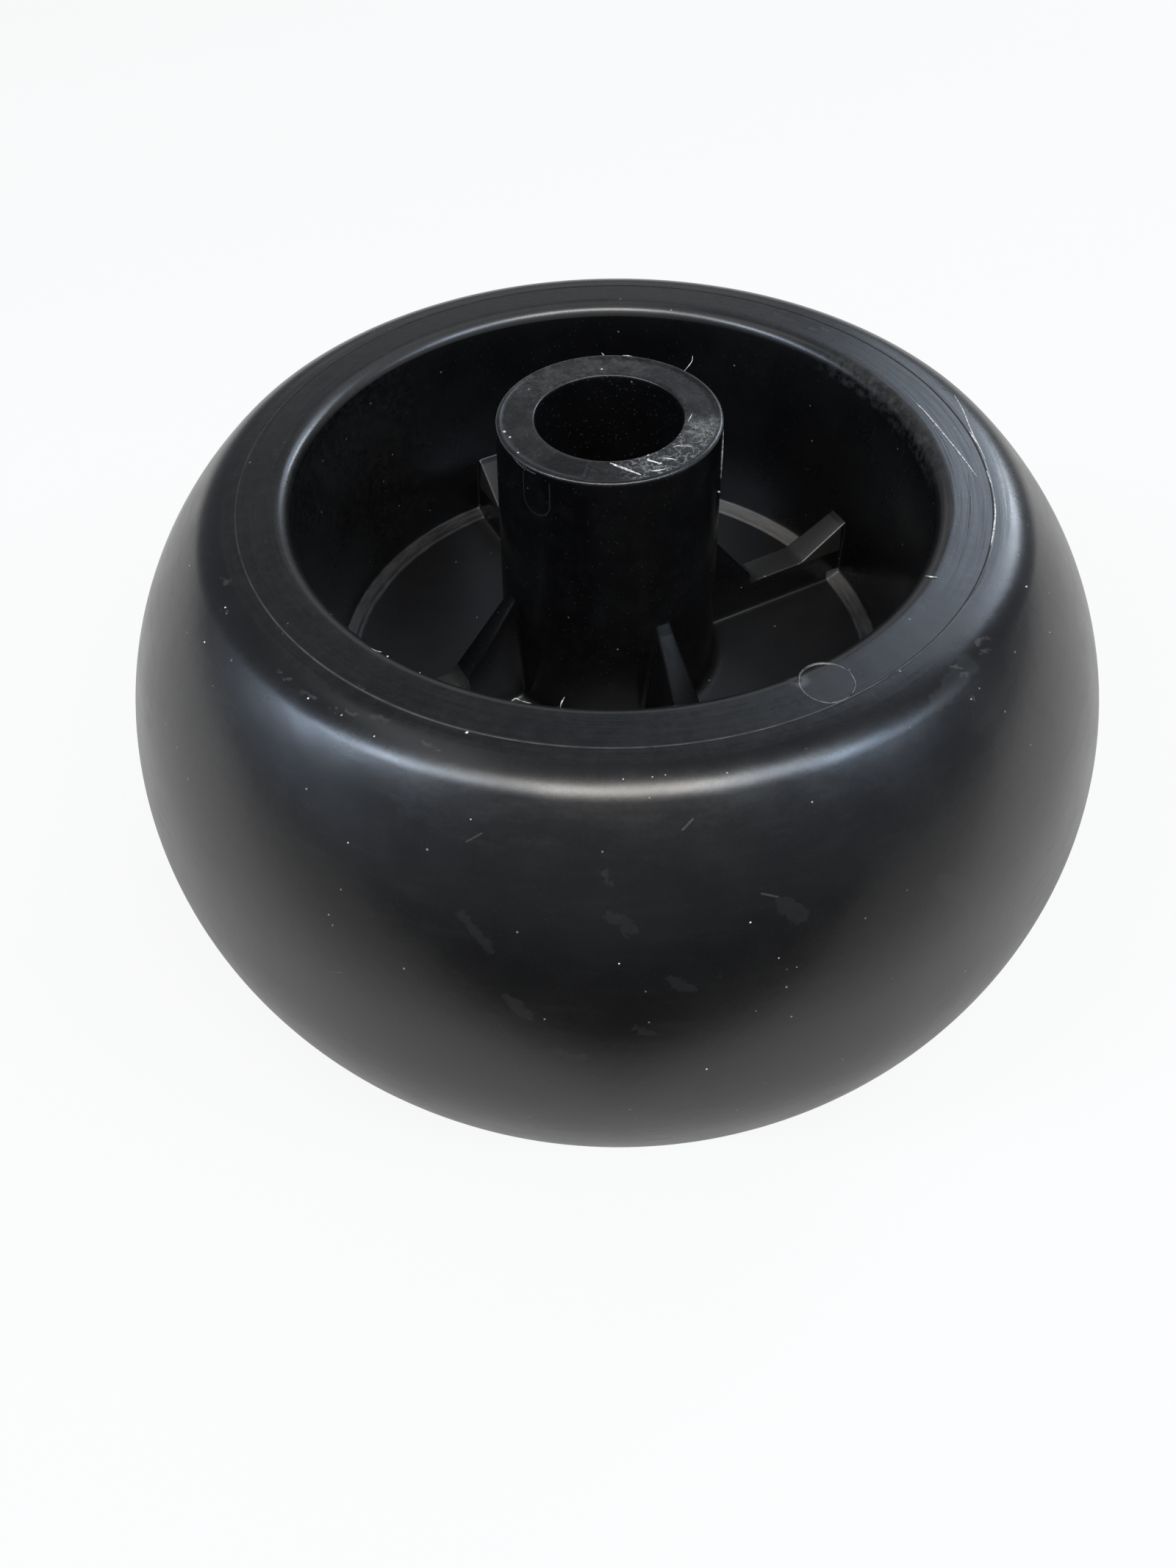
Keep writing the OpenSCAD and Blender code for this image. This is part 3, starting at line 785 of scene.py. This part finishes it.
FLECKS = [  # pale matter on the rim and shoulder: start and end, and the half width
    ((48.4, 195.3, 34.4), (48.3, 198.0, 34.4), 0.5), ((48.5, 200.3, 34.3), (48.2, 202.8, 34.4), 0.5),
    ((48.2, 205.4, 34.4), (47.7, 208.6, 34.6), 0.6), ((47.2, 210.9, 34.8), (46.6, 213.0, 34.9), 0.5),
    ((47.6, 218.0, 34.6), (47.9, 221.0, 34.5), 0.5), ((48.3, 168.3, 34.4), (48.0, 169.6, 34.5), 0.4),
    ((47.6, 174.8, 34.6), (47.1, 176.4, 34.8), 0.7), ((48.9, 180.6, 34.2), (48.5, 181.6, 34.3), 0.4),
    ((42.5, 20.8, 34.9), (42.6, 19.6, 34.9), 0.5), ((43.6, 19.2, 34.9), (43.5, 17.6, 34.9), 0.5),
    ((41.9, 3.4, 34.9), (41.7, 2.2, 34.9), 0.3), ((43.3, 29.0, 34.9), (43.4, 27.6, 34.9), 0.3),
    ((44.8, 143.6, 34.9), (44.7, 145.0, 34.9), 0.3), ((41.8, 144.6, 34.9), (41.3, 146.6, 34.8), 0.25),
    ((44.6, 206.0, 34.9), (44.5, 207.4, 34.9), 0.3), ((45.2, 189.4, 34.9), (45.2, 190.8, 34.9), 0.25),
    ((40.6, 8.0, 34.7), (40.4, 6.6, 34.6), 0.5), ((48.3, 293.6, 34.1), (48.6, 295.4, 34.0), 0.7),
    ((49.1, 293.0, 33.7), (49.5, 294.2, 33.4), 0.5), ((48.0, 287.6, 34.3), (48.4, 288.6, 34.1), 0.5), ((49.0, 288.0, 33.7), (49.3, 289.0, 33.5), 0.4), ((50.8, 287.0, 32.1), (51.1, 288.0, 31.8), 0.35), ((48.7, 262.5, 34.2), (48.6, 264.5, 34.3), 0.35),
]
U_AT, U_R, U_LOW = 202.9, 1.92, 38.5  # a U-shaped line on the hub's wall: direction, radius, height


def largest(tree, masks):
    """The largest of several masks."""
    out = masks[0]
    for mask in masks[1:]:
        out = add_node(tree, "ShaderNodeMath", {"operation": "MAXIMUM"}, {0: out, 1: mask})
    return out


def u_line(tree, point, z, way):
    """A U on the hub's wall: the distance to the middle of its bend is the bend's radius, and
    everything above the bend counts as level with that middle, which gives the straight legs."""
    a = math.radians(U_AT)
    across = add_node(tree, "ShaderNodeVectorMath", {"operation": "DOT_PRODUCT"},
                      {0: point, 1: (-math.sin(a), math.cos(a), 0)}).outputs["Value"]
    rise = add_node(tree, "ShaderNodeMath", {"operation": "SUBTRACT"}, {0: z, 1: U_LOW})
    drop = add_node(tree, "ShaderNodeMath", {"operation": "MINIMUM"}, {0: rise, 1: 0.0})
    at = add_node(tree, "ShaderNodeCombineXYZ", {}, {0: across, 1: drop})
    gap = add_node(tree, "ShaderNodeVectorMath", {"operation": "LENGTH"}, {0: at}).outputs["Value"]
    wall = product(tree, sector(tree, way, U_AT, 14, 4), between(tree, z, 36.0, 41.4, 0.5))
    return product(tree, wall, between(tree, gap, U_R - 0.03, U_R + 0.03, 0.08))


def single_masks(tree, point, z, way):
    """Smudges with ragged borders, scratches, and the ejector pin's round mark."""
    ragged = add_node(tree, "ShaderNodeTexNoise", {}, {"Vector": point, "Scale": 0.7, "Detail": 4.0, "Roughness": 0.65})
    rough = add_node(tree, "ShaderNodeMapRange", {}, {0: ragged, 1: 0.40, 2: 0.56})
    shift = add_node(tree, "ShaderNodeVectorMath", {"operation": "MULTIPLY_ADD"},
                     {0: ragged.outputs["Color"], 1: (2.4, 2.4, 2.4), 2: (-1.2, -1.2, -1.2)})
    loose = add_node(tree, "ShaderNodeVectorMath", {"operation": "ADD"}, {0: point, 1: shift})
    smudges = [scratch(tree, loose, spot_on(*a), spot_on(*b), 0.75 * w, 0.7) for a, b, w in SMUDGES]
    flecks = [scratch(tree, loose, spot_on(*a), spot_on(*b), 0.6 * w, 0.3) for a, b, w in FLECKS]
    scratches = [scratch(tree, point, spot_on(*a), spot_on(*b), w) for a, b, w in SCRATCHES]
    rows = [(largest(tree, smudges), 0.009, 0.05, 0.0), (largest(tree, flecks), 0.05, 0.1, 0.0),
            (largest(tree, scratches), 0.07, 0.1, 0.0), (u_line(tree, point, z, way), 0.035, 0.1, 0.0)]
    gap = add_node(tree, "ShaderNodeVectorMath", {"operation": "DISTANCE"},
                   {0: point, 1: tuple(MARK_AT)}).outputs["Value"]
    rows.append((product(tree, between(tree, gap, MARK_R - 0.03, MARK_R + 0.03, 0.08), rough), 0.2, 0.0, 0.0))
    rows.append((between(tree, gap, -1.0, MARK_R - 0.1, 0.1), 0.012, 0.04, 0.0))
    rows.append((product(tree, blot(tree, point, spot_on(40.3, 269.4, RIM_Z), 1.4), rough), 0.12, 0.1, 0.0))
    return rows


print(len(SMUDGES), "smudges and", len(SCRATCHES), "scratches")

# %% Satin black polyethylene


def black_polyethylene():
    """Injection-moulded black polyethylene. An IOR of 1.54 and a slightly raised
    specular level give its waxy sheen, and a roughness near 0.25 its broad highlights. The base colour
    runs from the carbon black of the plastic to the pale grey of dust and stress-whitening, and it
    also carries painted highlights, sheen and reflections on some zones and painted shade in the cup."""
    m = bpy.data.materials.new("moulded_black_polyethylene")
    m.use_nodes = True
    t = m.node_tree
    skin = t.nodes["Principled BSDF"]
    point, r, z, side, way = places(t)
    rows = skin_masks(t, point, r, side, way) + zone_masks(t, point, r, z, side, way)
    rows += single_masks(t, point, z, way)
    sums = [0.002, 0.22, 0.0]
    for mask, *gains in rows:
        for k, gain in enumerate(gains):
            if gain:
                sums[k] = add_node(t, "ShaderNodeMath", {"operation": "MULTIPLY_ADD"}, {0: mask, 1: gain, 2: sums[k]})
    pale, dull, high = sums
    colour = add_node(t, "ShaderNodeMix", {"data_type": "RGBA"}, {0: pale, 6: srgb("#070708"), 7: srgb("#B9B7B2")})
    bump = add_node(t, "ShaderNodeBump", {}, {"Distance": 0.001, "Height": high})
    t.links.new(colour.outputs[2], skin.inputs["Base Color"])
    t.links.new(dull.outputs[0], skin.inputs["Roughness"])
    t.links.new(bump.outputs[0], skin.inputs["Normal"])
    skin.inputs["IOR"].default_value = 1.54
    skin.inputs["Specular IOR Level"].default_value = 0.7
    return m


def whitened_flash():
    """Torn and thinned polyethylene: bending whitens it, so wisps and crumbs are pale grey, with
    darker stretches where the plastic stayed thick."""
    m = bpy.data.materials.new("stress_whitened_polyethylene")
    m.use_nodes = True
    t = m.node_tree
    skin = t.nodes["Principled BSDF"]
    point = places(t)[0]
    uneven = add_node(t, "ShaderNodeTexNoise", {}, {"Vector": point, "Scale": 2.0, "Detail": 3.0})
    share = add_node(t, "ShaderNodeMapRange", {}, {0: uneven, 1: 0.35, 2: 0.62})
    colour = add_node(t, "ShaderNodeMix", {"data_type": "RGBA"}, {0: share, 6: srgb("#7C7D7C"), 7: srgb("#F0EEE8")})
    t.links.new(colour.outputs[2], skin.inputs["Base Color"])
    skin.inputs["Roughness"].default_value = 0.4
    skin.inputs["IOR"].default_value = 1.54
    return m


plastic, pale_plastic = black_polyethylene(), whitened_flash()
for piece in (roller, flash, ejector_ring, scar):
    piece.data.materials.append(plastic)
for piece in (wisps, crumbs):
    piece.data.materials.append(pale_plastic)
for cad_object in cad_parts.values():
    cad_object.data.materials.clear()
    cad_object.data.materials.append(plastic)
print("nodes in the plastic's material:", len(plastic.node_tree.nodes))

# %% [markdown]
# ## Floor and light
# The roller stands on white paper. To the camera the paper is nearly white by itself, because a
# black object needs no more light than a grey one, and only its soft shadow is left. In the
# glossy skin the paper glows with painted light and shade: a painted contact shadow dims it next
# to the roller, it is brighter a little further out, painted dimmer far away in front, and dark in
# a wedge in front, a painted shadow of the person with the camera: that keeps the middle of the
# tread deep black.

# %% Floor
# FLOOR_NEAR is the paper's painted contact shadow next to the roller, FLOOR_FRONT its painted shadow of the person in
# front.
FLOOR_NEAR, FLOOR_FAR, FLOOR_FRONT = 0.55, 0.85, 0.12  # how white it is in a reflection
FLOOR_SIZE, FLOOR_LOW = 4000.0, -END_Z - 0.1
FRONT_WAY = Vector(spot_on(1, 243, 0))
square = np.stack(np.meshgrid(*[np.linspace(-FLOOR_SIZE, FLOOR_SIZE, 3)] * 2) + [np.full((3, 3), FLOOR_LOW)], -1)
floor = add_mesh("studio_floor", [(square, grid_faces(square, facing=(0, 0, 1)))])
paper = bpy.data.materials.new("white_matt_paper")
paper.use_nodes = True
t = paper.node_tree
skin = t.nodes["Principled BSDF"]
skin.inputs["Base Color"].default_value = srgb("#DEDEDC")
skin.inputs["Roughness"].default_value = 0.9
point, r, z, side, way = places(t)
rays = add_node(t, "ShaderNodeLightPath")
unseen = add_node(t, "ShaderNodeMath", {"operation": "MAXIMUM"},
                  {0: rays.outputs["Is Glossy Ray"], 1: rays.outputs["Is Transmission Ray"]})
# In reflections the paper's glow is painted light: near is a painted contact shadow next to the roller, dim darkens it
# far away in front, and shade is a painted shadow of the person with the camera, in a wedge in front.
near = add_node(t, "ShaderNodeMapRange", {"interpolation_type": "SMOOTHSTEP"},
                {0: r, 1: 70.0, 2: 125.0, 3: FLOOR_NEAR, 4: FLOOR_FAR})
front = add_node(t, "ShaderNodeVectorMath", {"operation": "DOT_PRODUCT"},
                 {0: point, 1: FRONT_WAY}).outputs["Value"]
across = add_node(t, "ShaderNodeVectorMath", {"operation": "DOT_PRODUCT"},
                  {0: point, 1: FRONT_WAY.cross((0, 0, 1))}).outputs["Value"]
apart = add_node(t, "ShaderNodeMath", {"operation": "ABSOLUTE"}, {0: across})
wedge = add_node(t, "ShaderNodeMath", {"operation": "MULTIPLY_ADD"}, {0: apart, 1: -0.7, 2: front})
dim = add_node(t, "ShaderNodeMapRange", {"interpolation_type": "SMOOTHSTEP"}, {0: front, 1: 50.0, 2: 180.0, 3: 1.0, 4: 0.5})
shade = add_node(t, "ShaderNodeMapRange", {"interpolation_type": "SMOOTHSTEP"},
                 {0: wedge, 1: 75.0, 2: 145.0, 3: 1.0, 4: FLOOR_FRONT})
glow = add_node(t, "ShaderNodeMath", {"operation": "MULTIPLY_ADD"},
                {0: product(t, unseen, near, dim, shade), 1: 1.0, 2: rays.outputs["Is Camera Ray"]})
share = add_node(t, "ShaderNodeMath", {"operation": "MULTIPLY_ADD"},
                 {0: rays.outputs["Is Camera Ray"], 1: 0.86, 2: unseen})
white = add_node(t, "ShaderNodeEmission", {}, {"Color": (1, 1, 1, 1), "Strength": glow})
both = add_node(t, "ShaderNodeMixShader", {}, {0: share, 1: skin, 2: white})
t.links.new(both.outputs[0], t.nodes["Material Output"].inputs["Surface"])
floor.data.materials.append(paper)
print("floor", 2 * FLOOR_SIZE / 1000, "m wide")

# %% Lamps and air


def lamp(name, azimuth, elevation, wide, high, glow, colour="#FFFFFF", distance=1.0):
    """An area lamp that looks at the roller from an azimuth and a height angle. Width and height
    are angles in degrees, and glow is its brightness to the eye, where white paper in full light
    is about 1: the power is the glow times pi times the lamp's area."""
    w, h = [2 * distance * math.tan(math.radians(v / 2)) for v in (wide, high)]
    data = bpy.data.lights.new(name, "AREA")
    data.shape, data.size, data.size_y = "RECTANGLE", w, h
    data.energy = glow * math.pi * w * h
    data.color = srgb(colour)[:3]
    made = bpy.data.objects.new(name, data)
    a, e = math.radians(azimuth), math.radians(elevation)
    where = Vector((math.cos(e) * math.cos(a), math.cos(e) * math.sin(a), math.sin(e))) * distance
    made.matrix_world = Matrix.Translation(where) @ where.to_track_quat("Z", "Y").to_matrix().to_4x4()
    made.visible_camera = False
    bpy.context.scene.collection.objects.link(made)
    return w * h * glow / distance ** 2 / math.pi * math.sin(e)


LAMPS = [
    ("panel_front", 249, 58, 35, 14, 9.4, "#FFFBF5"),
    ("panel_front_left", 213, 56, 25, 13, 2.9, "#FFFFFF"),
    ("panel_left", 199, 48, 13, 8, 8.0, "#E8F1FC"),
    ("row_left_1", 188, 41.5, 10, 8, 16.0, "#DCEAFB"),
    ("row_left_2", 181, 36.5, 10, 7, 14.0, "#D6E6FA"),
    ("row_left_3", 173, 29.5, 10, 4, 21.0, "#D2E4FA"),
    ("row_left_4", 164, 22.5, 11, 3.4, 14.0, "#CFE2FA"),
    ("row_left_5", 154, 16.5, 10, 5, 2.4, "#CFE2FA"),
    ("panel_right", 287, 51, 22, 13, 6.6, "#E4EFFC"),
    ("row_right_1", 303, 39.5, 11, 9, 15.0, "#CFE4FF"),
    ("row_right_2", 312, 30, 9, 7, 5.5, "#CFE4FF"),
    ("window_right", 323, 28, 14, 7, 2.2, "#DCE9FA"),
    ("window_behind", 20, 26, 16, 5, 14.0, "#E8F2FC"),
    ("wall_right", 24, 34, 35, 22, 2.8, "#D8E8FC"),
    ("window_left", 166, 12, 56, 12, 0.3, "#DCE9FF"),
    ("ceiling_left", 143, 67, 30, 18, 0.7, "#FFFFFF"),
    ("wall_behind", 68, 24, 32, 11, 0.5, "#F6F4EE"),
]
shares = {row[0]: lamp(*row) for row in LAMPS}
world = bpy.data.worlds.new("studio_air")
world.use_nodes = True
world.node_tree.nodes["Background"].inputs["Color"].default_value = srgb("#E6EBF6")
world.node_tree.nodes["Background"].inputs["Strength"].default_value = 0.21
bpy.context.scene.world = world
print("light on a level white surface:", {k: round(v, 2) for k, v in shares.items()},
      "sum", round(sum(shares.values()) + 0.2, 2))
